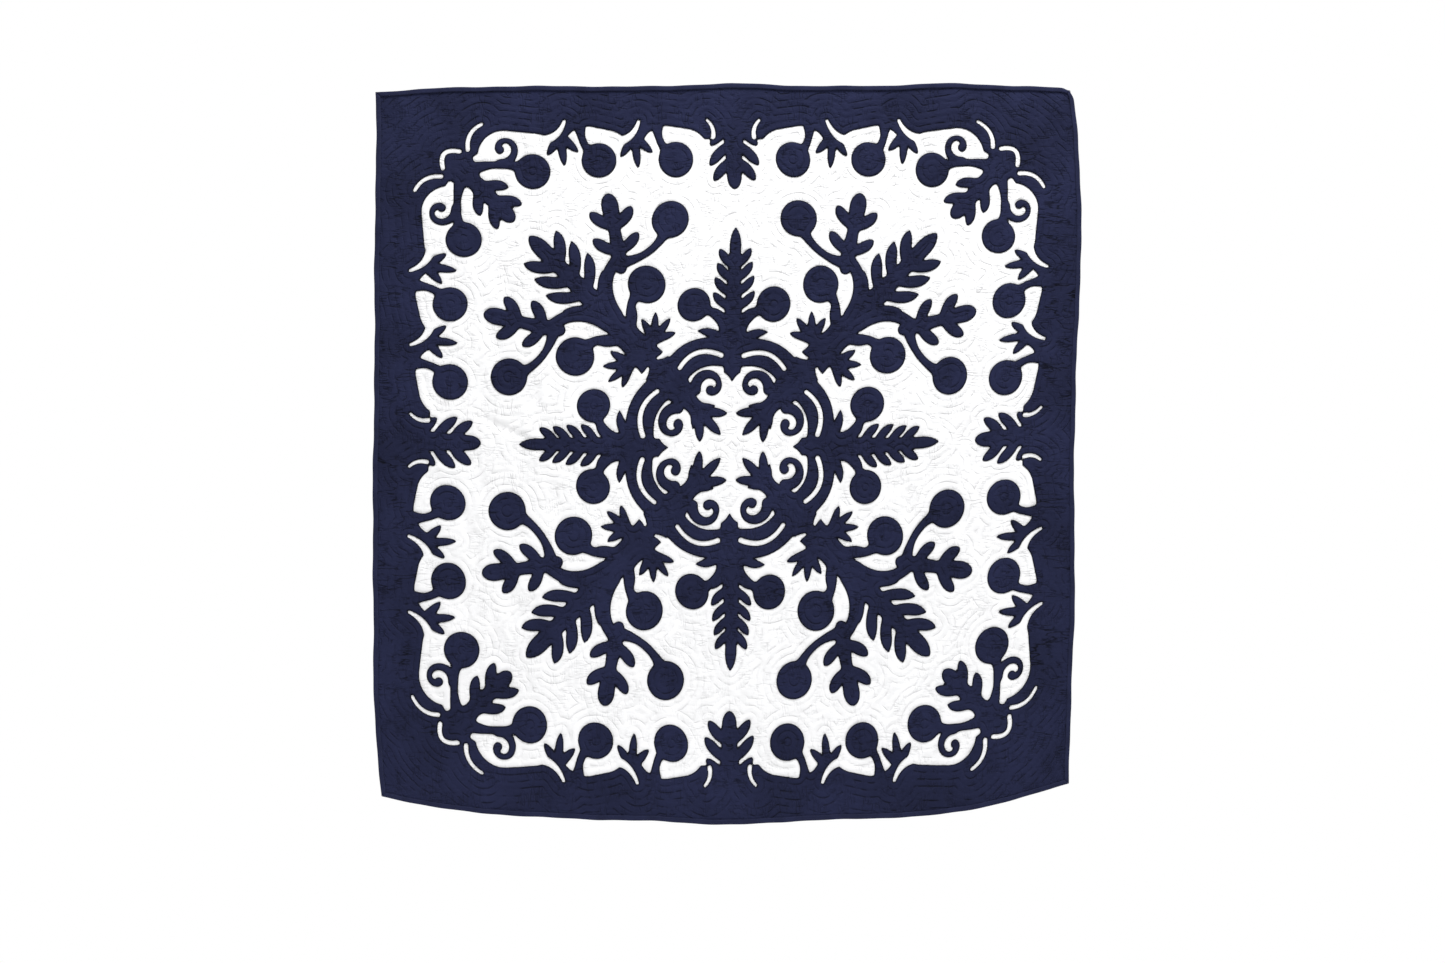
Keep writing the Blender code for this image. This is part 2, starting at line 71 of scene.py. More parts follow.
# %% Strokes
Lobe = namedtuple("Lobe", "x y angle length width bend")
Stem = namedtuple("Stem", "x0 y0 x1 y1 bow r0 r1")
Fruit = namedtuple("Fruit", "x y radius from_x from_y bow")
Leaf = namedtuple("Leaf", "x y angle length body pairs lobe width lean")
Palm = namedtuple("Palm", "x y angle lobes spread length width")
Curl = namedtuple("Curl", "x y start turns reach r0 r1")
LINE_POINTS = 13


def bowed(x0, y0, x1, y1, bow, t):
    """A parabola from one end to the other, whose middle stands off by bow of its length."""
    t = t[:, None]
    start = np.array([x0, y0], float)
    run = np.array([x1, y1], float) - start
    return start + run * t + np.array([-run[1], run[0]]) * (4 * bow * t * (1 - t))


LOBE_WIDEST = 0.62
LOBE_ROOT, LOBE_SWELL = 0.56, 0.44
LOBE_FALL, LOBE_FALL_POWER = 0.90, 2.2


def lobe_strokes(m):
    """A lobe: its radius starts at 56 % and rises by a quarter sine to the full one at 62 % of the
    length, then falls by a power curve to a tenth at the tip."""
    t = np.linspace(0, 1, LINE_POINTS)
    tip = (m.x + m.length * cos(radians(m.angle)), m.y + m.length * sin(radians(m.angle)))
    rise = LOBE_ROOT + LOBE_SWELL * np.sin(pi / 2 * np.minimum(t / LOBE_WIDEST, 1))
    past = np.clip((t - LOBE_WIDEST) / (1 - LOBE_WIDEST), 0, 1)
    fall = 1 - LOBE_FALL * past ** LOBE_FALL_POWER
    return [(bowed(m.x, m.y, *tip, m.bend, t), m.width / 2 * rise * fall)]


def stem_strokes(m):
    """A bowed stem whose radius goes evenly from one end's to the other's."""
    t = np.linspace(0, 1, 2 if m.bow == 0 else LINE_POINTS)
    return [(bowed(m.x0, m.y0, m.x1, m.y1, m.bow, t), m.r0 + (m.r1 - m.r0) * t)]


# Places along a fruit's stem, the radii there, and the length of its disc's stroke
STEM_PLACES, STEM_RADII = (0, 0.3, 0.62, 1), (11.0, 6.4, 6.8, 13.0)
DISC_LINE = 0.1


def fruit_strokes(m):
    """A disc, which is a stroke of almost no length, and the stem that carries it."""
    t = np.linspace(0, 1, LINE_POINTS)
    disc = (np.array([[m.x, m.y], [m.x + DISC_LINE, m.y]]), np.full(2, m.radius))
    stem = bowed(m.from_x, m.from_y, m.x, m.y, m.bow, t)
    return [disc, (stem, np.interp(t, STEM_PLACES, STEM_RADII))]


# %% Leaves, fans of lobes and tendrils
# Shares of a leaf's length, of its midrib's radius and of its lobes' size
MIDRIB_PLACES = np.array([0, 0.25, 0.74])
MIDRIB_RADII = np.array([0.75, 0.98, 0.62])
PAIRS_FROM, PAIRS_SPAN = 0.06, 0.66
PAIR_PLACES, PAIR_SIZES = (0, 0.35, 1), (0.88, 1.0, 0.86)
PAIR_BEND = 0.07
TIP_FROM, TIP_LONG, TIP_WIDE = 0.60, 0.40, 1.45
LEAN_LOST = 12


def leaf_strokes(m):
    """A midrib, pairs of lobes that lean less towards the tip, and one lobe at the tip."""
    way = np.array([cos(radians(m.angle)), sin(radians(m.angle))])
    root = np.array([m.x, m.y], float)
    strokes = [(root + way * m.length * MIDRIB_PLACES[:, None], m.body * MIDRIB_RADII)]
    for pair in range(m.pairs):
        base = root + way * m.length * (PAIRS_FROM + PAIRS_SPAN * (pair + 0.5) / m.pairs)
        size = np.interp(pair / max(m.pairs - 1, 1), PAIR_PLACES, PAIR_SIZES)
        lean = m.lean - LEAN_LOST * pair / m.pairs
        for side in (1, -1):
            strokes += lobe_strokes(
                Lobe(*base, m.angle + side * lean, m.lobe * size, m.width, side * PAIR_BEND))
    base = root + way * m.length * TIP_FROM
    return strokes + lobe_strokes(
        Lobe(*base, m.angle, m.length * TIP_LONG, m.width * TIP_WIDE, 0))


OUTER_SHORTER = 0.22
FAN_BEND = -0.06


def palm_strokes(m):
    """Lobes that fan out from one root, the outer ones up to 22 % shorter."""
    strokes = []
    for finger in range(m.lobes):
        f = 2 * finger / (m.lobes - 1) - 1
        length = m.length * (1 - OUTER_SHORTER * abs(f))
        strokes += lobe_strokes(
            Lobe(m.x, m.y, m.angle + f * m.spread, length, m.width, FAN_BEND * f))
    return strokes


CURL_POINTS = 30
CURL_WOUND = 0.78
CURL_PLACES = (0, 0.55, 0.85, 1)
CURL_EYE = (1.35, 1.6)


def curl_strokes(m):
    """A spiral that winds in to 22 % of its reach, and ends in a thicker eye."""
    t = np.linspace(0, 1, CURL_POINTS)
    turn = radians(m.start) + 2 * pi * m.turns * t
    reach = m.reach * (1 - CURL_WOUND * t)
    line = np.stack([m.x + reach * np.cos(turn), m.y + reach * np.sin(turn)], 1)
    radii = (m.r0, m.r1, m.r1 * CURL_EYE[0], m.r1 * CURL_EYE[1])
    return [(line, np.interp(t, CURL_PLACES, radii))]


STROKES = {Lobe: lobe_strokes, Stem: stem_strokes, Fruit: fruit_strokes,
           Leaf: leaf_strokes, Palm: palm_strokes, Curl: curl_strokes}

# %% [markdown]
# The tables. The diagonal spray has its x along the diagonal, the frond along an axis, and the
# frame's garland is given on the top side. Pockets and slits are the white places that are cut
# out of the navy.

# %% The motifs of one wedge
DIAGONAL_SPRAY = (
    Stem(90, 0, 165, 0, 0, 15, 27),
    Stem(165, 0, 345, 0, 0, 27, 14),
    Leaf(300, 0, 0, 196, 16, 4, 68, 18, 50),
    Palm(90, 0, 180, 5, 70, 62, 14),
    Lobe(262, 8, 46, 50, 15, 0.10),
    Fruit(298, 86, 32, 236, 8, -0.24),
    Palm(220, 20, 66, 4, 44, 60, 13),
    Stem(300, 8, 366, 88, -0.18, 15, 9),
    Leaf(348, 74, 34, 128, 13, 2, 54, 20, 54),
    Fruit(350, 192, 32, 356, 80, 0.16),
)
AXIS_FROND = (
    Stem(124, 0, 200, 0, 0, 14, 18),
    Leaf(182, 0, 0, 182, 13, 5, 46, 12.5, 52),
    Fruit(238, 68, 29, 180, 10, -0.16),
    Lobe(170, 4, 68, 60, 15, -0.10),
)
WEB = (
    Stem(166, 4, 117, 117, -0.20, 11, 11),
    Stem(145, 4, 102, 102, -0.19, 13, 14),
)
WEB_POCKETS = (Stem(98, 28, 102, 37, 0, 29, 32),)
WEB_CURLS = (Curl(100, 38, 100, -0.80, 28, 10, 5.2),)
WEB_SLITS = (
    Stem(153, 20, 130, 92, -0.20, 4.2, 3.4),
    Stem(162, 110, 147, 130, 0.10, 8, 2.2),
)

# %% The motifs of the frame
FIELD_HALF = 517.0
FIELD_ROUND = 158.0
FIELD_BAYS = (
    Stem(88, 492, 118, 498, 0, 44, 44),
    Stem(222, 492, 252, 498, 0, 44, 44),
    Stem(344, 482, 396, 490, 0, 46, 44),
)
SIDE_GARLAND = (
    Leaf(0, 560, 270, 128, 17, 3, 58, 16, 52),
    Fruit(102, 484, 30, 132, 546, 0.14),
    Palm(174, 538, 264, 3, 32, 68, 14),
    Fruit(234, 484, 30, 266, 546, 0.14),
    Palm(302, 538, 262, 3, 31, 66, 14),
)
CORNER_SPRAY = (
    Stem(700, 0, 640, 0, 0, 46, 15),
    Leaf(640, 0, 180, 102, 14, 2, 54, 16, 44),
    Fruit(572, 82, 30, 648, 16, -0.08),
    Curl(636, 75, 233, -0.84, 26, 7.5, 4.6),
)
SIDE_SLITS = (
    Stem(36, 520, 46, 550, 0.14, 3.8, 2.4),
    Stem(212, 516, 164, 551, 0.18, 9, 2.6),
    Stem(340, 516, 292, 551, 0.18, 9, 2.6),
)
CORNER_SLITS = (
    Stem(686, -20, 686, 20, -0.40, 3.0, 3.0),
    Stem(678, 32, 692, 80, -0.18, 3.8, 2.8),
)

# %% [markdown]
# Strokes become cloth by a distance field: a number at each point of a fine grid, negative in
# the navy and positive in the white. A smooth union rounds the corner where two strokes meet,
# as a sewer's turned edge does. One quarter is enough, because the rest mirrors it.

# %% Place the motifs in one quarter
def strokes_of(table):
    """All strokes of a table's motifs, each a line and its radii."""
    return [stroke for motif in table for stroke in STROKES[type(motif)](motif)]


def on_diagonal(table):
    """Strokes given along the diagonal, turned by 45 degrees, and mirrored about it."""
    placed = []
    for p, r in strokes_of(table):
        for side in (1, -1):
            turned = np.stack([p[:, 0] - side * p[:, 1], p[:, 0] + side * p[:, 1]], 1)
            placed.append((turned * 0.5 ** 0.5, r))
    return placed


def on_both_axes(strokes):
    """Strokes given along the level axis, there and on the upright one, mirrored about each."""
    placed = []
    for p, r in strokes:
        for side in (1, -1):
            placed += [(p[:, ::-1] * [side, 1], r), (p * [1, side], r)]
    return placed


def on_axis(table):
    """Strokes given along an axis, on both axes."""
    return on_both_axes(strokes_of(table))


def on_side(table):
    """Strokes given on the top side, there and on the right side."""
    return on_both_axes([(p[:, ::-1], r) for p, r in strokes_of(table)])


# %% The distance field
MAP_PITCH = 2.5
MAP_COUNT = 252
FAR = 60.0
map_axis = np.arange(MAP_COUNT + 1) * MAP_PITCH
map_u, map_v = np.meshgrid(map_axis, map_axis)


def union(strokes, blend):
    """Distance to a smooth union: minus blend times the log of the sum of exp(-distance / blend).

    A point's distance to a stroke is the least, over its spans, of the way to the nearest point
    of the span less the radius there.
    """
    total = np.full(map_u.shape, np.exp(-FAR / blend))
    for line, radius in strokes:
        reach = radius.max() + FAR
        low, high = line.min(0) - reach, line.max(0) + reach
        near = (map_u > low[0]) & (map_u < high[0]) & (map_v > low[1]) & (map_v < high[1])
        x, y = map_u[near][:, None], map_v[near][:, None]
        start, run = line[:-1], np.diff(line, axis=0)
        along = (x - start[:, 0]) * run[:, 0] + (y - start[:, 1]) * run[:, 1]
        t = np.clip(along / (run ** 2).sum(1), 0, 1)
        off = np.hypot(x - start[:, 0] - t * run[:, 0], y - start[:, 1] - t * run[:, 1])
        distance = (off - radius[:-1] - t * np.diff(radius)).min(1)
        total[near] += np.exp(-np.clip(distance, -FAR, FAR) / blend)
    return -blend * np.log(total)


def rounded_square(half, corner):
    """Distance to a square with round corners, for points of one quarter."""
    x, y = map_u - (half - corner), map_v - (half - corner)
    outside = np.hypot(np.maximum(x, 0), np.maximum(y, 0))
    return outside + np.minimum(np.maximum(x, y), 0) - corner


MOTIF_BLEND = 1.6
SLIT_BLEND = 1.0
BAY_BLEND = 3.0
motifs = union(on_diagonal(DIAGONAL_SPRAY) + on_axis(AXIS_FROND) + on_axis(WEB), MOTIF_BLEND)
pockets = union(on_axis(WEB_POCKETS) + on_axis(WEB_SLITS), SLIT_BLEND)
curls = union(on_axis(WEB_CURLS), MOTIF_BLEND)
medallion_map = np.minimum(np.maximum(motifs, -pockets), curls)

bays = union(on_side(FIELD_BAYS), BAY_BLEND)
white_field = np.minimum(rounded_square(FIELD_HALF, FIELD_ROUND), bays)
garland = union(on_side(SIDE_GARLAND) + on_diagonal(CORNER_SPRAY), MOTIF_BLEND)
slits = union(on_side(SIDE_SLITS) + on_diagonal(CORNER_SLITS), SLIT_BLEND)
border_map = np.maximum(np.minimum(-white_field, garland), -slits)
navy_map = np.minimum(medallion_map, border_map)
inside_quilt = (map_u < HALF) & (map_v < HALF)
print(f"navy share of the front: {(navy_map[inside_quilt] < 0).mean():.3f}")

# %% [markdown]
# The quilting rows echo the cut edges at one finger's width. So each point needs its true
# distance to the nearest cut edge, inside the navy and outside it alike. The edge is
# found where the field changes sign between two neighbours on the grid, and the nearest such
# place is searched for in slices, as whole arrays.

# %% The distance to the nearest cut edge
def crossings(field):
    """Points where the field is zero on the grid's spans, by a straight line between the ends."""
    found = []
    for near, far, step in (
        (np.s_[:, :-1], np.s_[:, 1:], (MAP_PITCH, 0)),
        (np.s_[:-1, :], np.s_[1:, :], (0, MAP_PITCH)),
    ):
        a, b = field[near], field[far]
        cut = (a < 0) != (b < 0)
        t = a[cut] / (a[cut] - b[cut])
        u, v = map_u[near][cut] + t * step[0], map_v[near][cut] + t * step[1]
        found.append(np.stack([u, v], 1))
    return np.concatenate(found)


OVER_THE_FOLD = 70.0
FLAT_SLOPE = 0.05
edge = crossings(np.where(inside_quilt, navy_map, -1.0))
edge = edge[edge.max(1) < HALF - 2 * MAP_PITCH]
for mirror, folded in (([-1, 1], 0), ([1, -1], 1)):
    edge = np.concatenate([edge, edge[edge[:, folded] < OVER_THE_FOLD] * mirror])

SLICE = 2000
places = np.stack([map_u.ravel(), map_v.ravel()], 1).astype(np.float32)
edge = edge.astype(np.float32)
edge_square = (edge ** 2).sum(1)
nearest = [
    (edge_square - 2 * places[i:i + SLICE] @ edge.T).min(1) + (places[i:i + SLICE] ** 2).sum(1)
    for i in range(0, len(places), SLICE)
]
to_edge = np.sqrt(np.maximum(np.concatenate(nearest), 0)).reshape(map_u.shape)
to_edge = np.where(to_edge < 2 * MAP_PITCH, np.minimum(to_edge, abs(navy_map)), to_edge)

# Near 1 where the distance rises up or down the cloth, as on level rows, and calmer on ridges
down_slope, across_slope = np.gradient(to_edge, MAP_PITCH)
rows_level = down_slope ** 2 / (down_slope ** 2 + across_slope ** 2 + FLAT_SLOPE)
print(f"{len(edge)} points on the cut edge, furthest place from it {to_edge.max():.0f} mm")


def read_map(values, u, v):
    """The map's value at flat points, evenly between its four nearest entries."""
    x = np.clip(np.abs(u) / MAP_PITCH, 0, MAP_COUNT - 0.001)
    y = np.clip(np.abs(v) / MAP_PITCH, 0, MAP_COUNT - 0.001)
    i, j = x.astype(int), y.astype(int)
    x, y = x - i, y - j
    low = values[j, i] * (1 - x) + values[j, i + 1] * x
    high = values[j + 1, i] * (1 - x) + values[j + 1, i + 1] * x
    return low * (1 - y) + high * y


# %% [markdown]
# A hung quilt isn't a true rectangle. Its middle sags lower than its sides, its sides bow, and
# soft waves run down it. Two tables give the cut edges as they hang, a smooth curve runs through
# each, and the flat square is stretched between them. Every piece is hung by this one
# function, so the layers stay together.

# %% The hung shape
SideRow = namedtuple("SideRow", "v left right")
SIDES = (
    SideRow(-610, -597, 597),
    SideRow(-500, -608, 600),
    SideRow(-290, -612, 608),
    SideRow(-90, -613, 607),
    SideRow(130, -610, 612),
    SideRow(330, -610, 620),
    SideRow(520, -607, 614),
    SideRow(610, -608, 605),
)
EdgeColumn = namedtuple("EdgeColumn", "u top bottom")
ENDS = (
    EdgeColumn(-610, -15, -1240),
    EdgeColumn(-520, -9, -1259),
    EdgeColumn(-390, -5, -1273),
    EdgeColumn(-260, -5, -1280),
    EdgeColumn(-130, -5, -1284),
    EdgeColumn(0, 0, -1290),
    EdgeColumn(130, -4, -1283),
    EdgeColumn(260, -4, -1279),
    EdgeColumn(390, 0, -1270),
    EdgeColumn(520, -5, -1243),
    EdgeColumn(610, -8, -1217),
)
PATTERN_SHIFT = 12.0
PATTERN_LIFT = 0.038
Ripple = namedtuple("Ripple", "height length slant phase")
RIPPLES = (
    Ripple(4.0, 760, 0.00, 0.7),
    Ripple(2.4, 540, -0.25, 2.2),
)
RIPPLE_AT_TOP = 0.15
CORNER_CURL = 9.0
Crease = namedtuple("Crease", "u0 v0 u1 v1 height width")
CREASES = (
    Crease(-436, 46, -338, 2, -2.4, 6),
    Crease(-424, -110, -418, -500, 0.9, 6),
    Crease(2, -70, 0, -590, 1.0, 6),
    Crease(-560, -40, -420, -52, 0.8, 9),
)
LUMPS = (Ripple(0.45, 88, 0.7, 0.4), Ripple(0.40, 63, -0.9, 1.9), Ripple(0.30, 41, 0.25, 4.1))
DRIFT = (Ripple(1.1, 330, 0.8, 1.3), Ripple(0.8, 210, -1.1, 3.0))
EDGE_WAVES = (Ripple(0.6, 174, 0, 0.6), Ripple(0.3, 67, 0, 2.0))
CREASE_END, CREASE_MIDDLE = 0.35, 2.6
CORNER_TUCK = 4.2
TUCK_WIDE = 12.0
RIM_POWER = 12
PAST_TABLE = 5


def smooth_curve(x, xs, ys):
    """Cubic spans through a table's points. The slope at a point is weighed from both its spans."""
    slope = np.gradient(ys, xs)
    x = np.clip(x, xs[0] - PAST_TABLE, xs[-1] + PAST_TABLE)
    i = np.clip(np.searchsorted(xs, x) - 1, 0, len(xs) - 2)
    width = xs[i + 1] - xs[i]
    t = (x - xs[i]) / width
    ends = ys[i] * (1 + 2 * t) * (1 - t) ** 2 + ys[i + 1] * t * t * (3 - 2 * t)
    return ends + width * (slope[i] * t * (1 - t) ** 2 + slope[i + 1] * t * t * (t - 1))


def waves(u, v, table):
    """A sum of sines: height times the sine of the way along u and slant times v, in turns of
    length, from its phase."""
    return sum(r.height * np.sin(2 * pi * (u + r.slant * v) / r.length + r.phase) for r in table)


def creases(u, v):
    """Each crease is a bell across its line, highest half way along and low at its ends."""
    total = 0.0
    for c in CREASES:
        run_u, run_v = c.u1 - c.u0, c.v1 - c.v0
        t = np.clip(((u - c.u0) * run_u + (v - c.v0) * run_v) / (run_u ** 2 + run_v ** 2), 0, 1)
        off = np.hypot(u - c.u0 - t * run_u, v - c.v0 - t * run_v)
        along = CREASE_END + CREASE_MIDDLE * t * (1 - t)
        total = total + c.height * np.exp(-((off / c.width) ** 2)) * along
    return total


def hung(u, v, height):
    """Flat points as they hang, in metres.

    x runs evenly from the left edge's curve to the right one's, with the pattern's middle shifted;
    z runs from the top curve to the bottom one, a little slower at first; the waves grow from
    top to bottom, and height is taken off them towards the front, which faces -Y. A slow drift
    moves the pattern a little, and fades out at the edges. The lower corners curl forward, and a
    bell at the top right corner pulls it in, which rounds it.
    """
    free = (1 - (u / HALF) ** 4) * (1 - (v / HALF) ** 4)
    rim = np.clip(np.maximum(np.abs(u), np.abs(v)) / HALF, 0, 1) ** RIM_POWER
    u, v = u + free * waves(v, u, DRIFT), v + free * waves(u, v, DRIFT)
    side_v, lefts, rights = np.array(SIDES, float).T
    left, right = smooth_curve(v, side_v, lefts), smooth_curve(v, side_v, rights)
    x = left + (right - left) * (u / HALF + 1) / 2 + PATTERN_SHIFT * (1 - (u / HALF) ** 2)
    end_u, tops, bottoms = np.array(ENDS, float).T
    top, bottom = smooth_curve(u, end_u, tops), smooth_curve(u, end_u, bottoms)
    down = (1 - v / HALF) / 2
    z = top + (bottom - top) * (down - PATTERN_LIFT * down * (1 - down))
    tuck = CORNER_TUCK * np.exp(-((u - HALF) ** 2 + (v - HALF) ** 2) / TUCK_WIDE ** 2)
    x = x + rim * waves(v, u, EDGE_WAVES) - tuck
    z = z + rim * waves(u, v, EDGE_WAVES) - tuck
    swing = waves(u, v, RIPPLES) * (RIPPLE_AT_TOP + (1 - RIPPLE_AT_TOP) * down)
    swing = swing - CORNER_CURL * np.clip(down, 0, 1) ** 3 * (u / HALF) ** 4
    height = height + creases(u, v) + waves(u, v, LUMPS)
    return np.stack([x, swing - height, z], 1) * ONE_MM


# %% [markdown]
# A cloth with a cut outline could be trimmed by a Boolean, but thousands of small curves make
# that slow and rough. Here the grid's own triangles are cut where the field is zero, so the edge
# is smooth and every sheet can be closed with certainty. Hidden cells join into larger blocks,
# each a fan of triangles round its middle, which keeps the mesh light.

# %% Cut a sheet out of a grid
BLOCK_SIZES = (16, 8, 4, 2)
CUT_FROM, CUT_TO = 0.1, 0.9
Tiles = namedtuple("Tiles", "faces inner outer share rim")


def fans(size, rows, cols, ids, used):
    """Triangles from each block's middle to the used grid points round its rim."""
    step = np.arange(size)
    rim_row = np.concatenate([0 * step, step, 0 * step + size, size - step])
    rim_col = np.concatenate([step, 0 * step + size, size - step, 0 * step])
    rim = ids[rows[:, None] + rim_row, cols[:, None] + rim_col]
    on = used.ravel()[rim]
    here = rim[on]
    last = np.cumsum(on.sum(1)) - 1
    after = np.roll(here, -1)
    after[last] = here[np.concatenate([[0], last[:-1] + 1])]
    middle = ids[rows + size // 2, cols + size // 2][np.nonzero(on)[0]]
    return np.stack([middle, here, after], 1)


def cut_tiles(value, fine):
    """Triangles over the grid where value is negative, cut along the line where it is zero.

    Cells stay small where fine is true or the line crosses them. A cut point lies on a span
    between an inner and an outer grid point, at its share of the way.
    """
    count = len(value)
    ids = np.arange(count * count).reshape(count, count)
    corners = (ids[:-1, :-1], ids[:-1, 1:], ids[1:, 1:], ids[1:, :-1])
    is_in = (value < 0).ravel()
    inner_corners = sum(is_in[c].astype(int) for c in corners)
    free = (inner_corners == 4) & ~fine
    blocks = []
    for size in BLOCK_SIZES:
        many = (count - 1) // size
        whole = free.reshape(many, size, many, size).all(axis=(1, 3))
        rows, cols = (k * size for k in np.nonzero(whole))
        free &= ~np.repeat(np.repeat(whole, size, 0), size, 1)
        if len(rows):
            blocks.append((size, rows, cols))
    small = inner_corners > 0
    for size, rows, cols in blocks:
        step = np.arange(size)
        small[rows[:, None, None] + step[:, None], cols[:, None, None] + step] = False
    used = np.zeros(count * count, bool)
    for corner in corners:
        used[corner[small]] = True
    for size, rows, cols in blocks:
        for row, col in ((0, 0), (0, size), (size, 0), (size, size)):
            used[ids[rows + row, cols + col]] = True
    faces = [fans(size, rows, cols, ids, used) for size, rows, cols in blocks]

    a, b, c, d = (corner[small] for corner in corners)
    halves = np.concatenate([np.stack([a, b, c], 1), np.stack([a, c, d], 1)])
    inner = is_in[halves].sum(1)
    faces.append(halves[inner == 3])
    spans, pieces = [], []
    for many in (1, 2):
        some = halves[inner == many]
        lone = (is_in[some] == (many == 1)).argmax(1)
        some = np.take_along_axis(some, (lone[:, None] + np.arange(3)) % 3, 1)
        spans += [some[:, [0, 1]], some[:, [0, 2]]]
        pieces.append(some)
    spans = np.concatenate(spans)
    key = spans.min(1) * count ** 2 + spans.max(1)
    unique, where = np.unique(key, return_inverse=True)
    low, high = unique // count ** 2, unique % count ** 2
    swap = ~is_in[low]
    low[swap], high[swap] = high[swap], low[swap]
    flat = value.ravel()
    share = np.clip(flat[low] / (flat[low] - flat[high]), CUT_FROM, CUT_TO)
    one, two = len(pieces[0]), len(pieces[1])
    first = count ** 2
    ab1, ac1, ab2, ac2 = np.split(where + first, np.cumsum([one, one, two]))
    faces += [
        np.stack([pieces[0][:, 0], ab1, ac1], 1),
        np.stack([ab2, pieces[1][:, 1], pieces[1][:, 2]], 1),
        np.stack([ab2, pieces[1][:, 2], ac2], 1),
    ]
    rim = np.concatenate([np.stack([ab1, ac1], 1), np.stack([ac2, ab2], 1)])
    return Tiles(np.concatenate(faces), low, high, share, rim)


# %% Close a sheet and put it in a mesh
Grid = namedtuple("Grid", "u v")
Sheet = namedtuple("Sheet", "obj area")
REAR_PITCH = 24.0
REAR_CLEAR = 8.0
SURE_DEPTH = 1.0
MOST_NEIGHBOURS = 60
JOIN_SLACK = 1e-7
SQUARE_METRES = 1e-6


def grid_of(pitch):
    """A square grid that reaches past the quilt's edge, its cells a multiple of the largest block."""
    cells = int(np.ceil((2 * HALF / pitch + 4) / BLOCK_SIZES[0])) * BLOCK_SIZES[0]
    axis = (np.arange(cells + 1) - cells / 2) * pitch
    return Grid(*np.meshgrid(axis, axis))


def mesh_object(name, points, faces):
    """A smooth mesh object from arrays of points and of faces with one count of corners."""
    mesh = bpy.data.meshes.new(name)
    mesh.vertices.add(len(points))
    mesh.vertices.foreach_set("co", np.asarray(points, np.float32).ravel())
    mesh.loops.add(faces.size)
    mesh.loops.foreach_set("vertex_index", faces.astype(np.int32).ravel())
    mesh.polygons.add(len(faces))
    mesh.polygons.foreach_set("loop_start", np.arange(len(faces), dtype=np.int32) * faces.shape[1])
    mesh.update(calc_edges=True)
    mesh.validate()
    mesh.shade_smooth()
    obj = bpy.data.objects.new(name, mesh)
    bpy.context.scene.collection.objects.link(obj)
    return obj


def keep_value(obj, name, values):
    """Stores one number for each vertex, which a material can read."""
    store = obj.data.attributes.new(name, "FLOAT", "POINT")
    store.data.foreach_set("value", np.asarray(values, np.float32))


def inside_rim(faces, rim, depth, count):
    """Which faces lie inside the rim, whose edges run with the cloth on their left.

    A face with a rim edge is inside if it runs the edge's own way, and a face far from the rim is
    told by its depth in the field. The few others take the side of a neighbour.
    """
    side = np.where(abs(depth) > SURE_DEPTH, -np.sign(depth), 0)
    ends = faces[:, [0, 1, 1, 2, 2, 0]].reshape(-1, 2)
    owner = np.repeat(np.arange(len(faces)), 3)
    side[owner[np.isin(ends @ [count, 1], rim @ [count, 1])]] = 1
    side[owner[np.isin(ends @ [count, 1], rim @ [1, count])]] = -1
    span = np.sort(ends, 1) @ [count, 1]
    order = np.argsort(span, kind="stable")
    shared = span[order][1:] == span[order][:-1]
    shared &= ~np.isin(span[order][1:], np.sort(rim, 1) @ [count, 1])
    one, other = owner[order][:-1][shared], owner[order][1:][shared]
    for _ in range(MOST_NEIGHBOURS):
        for a, b in ((one, other), (other, one)):
            unsure = side[a] == 0
            side[a[unsure]] = side[b[unsure]]
        if side.all():
            break
    return side > 0


def rear_faces(u, v, rim, value_at):
    """Triangles inside the rim for a plain rear: the rim's points and a few inner ones, joined by
    a Delaunay triangulation that keeps the rim's edges."""
    axis = np.arange(-HALF, HALF, REAR_PITCH) + REAR_PITCH / 2
    inner = np.stack(np.meshgrid(axis, axis), -1).reshape(-1, 2)
    inner = inner[value_at(*inner.T) < -REAR_CLEAR]
    flat = np.concatenate([np.stack([u, v], 1), inner])
    corners = list(map(Vector, flat))
    faces = np.array(delaunay_2d_cdt(corners, rim.tolist(), [], 0, JOIN_SLACK, False)[2])
    middle = flat[faces].mean(1)
    return inner, faces[inside_rim(faces, rim, value_at(*middle.T), len(flat))]


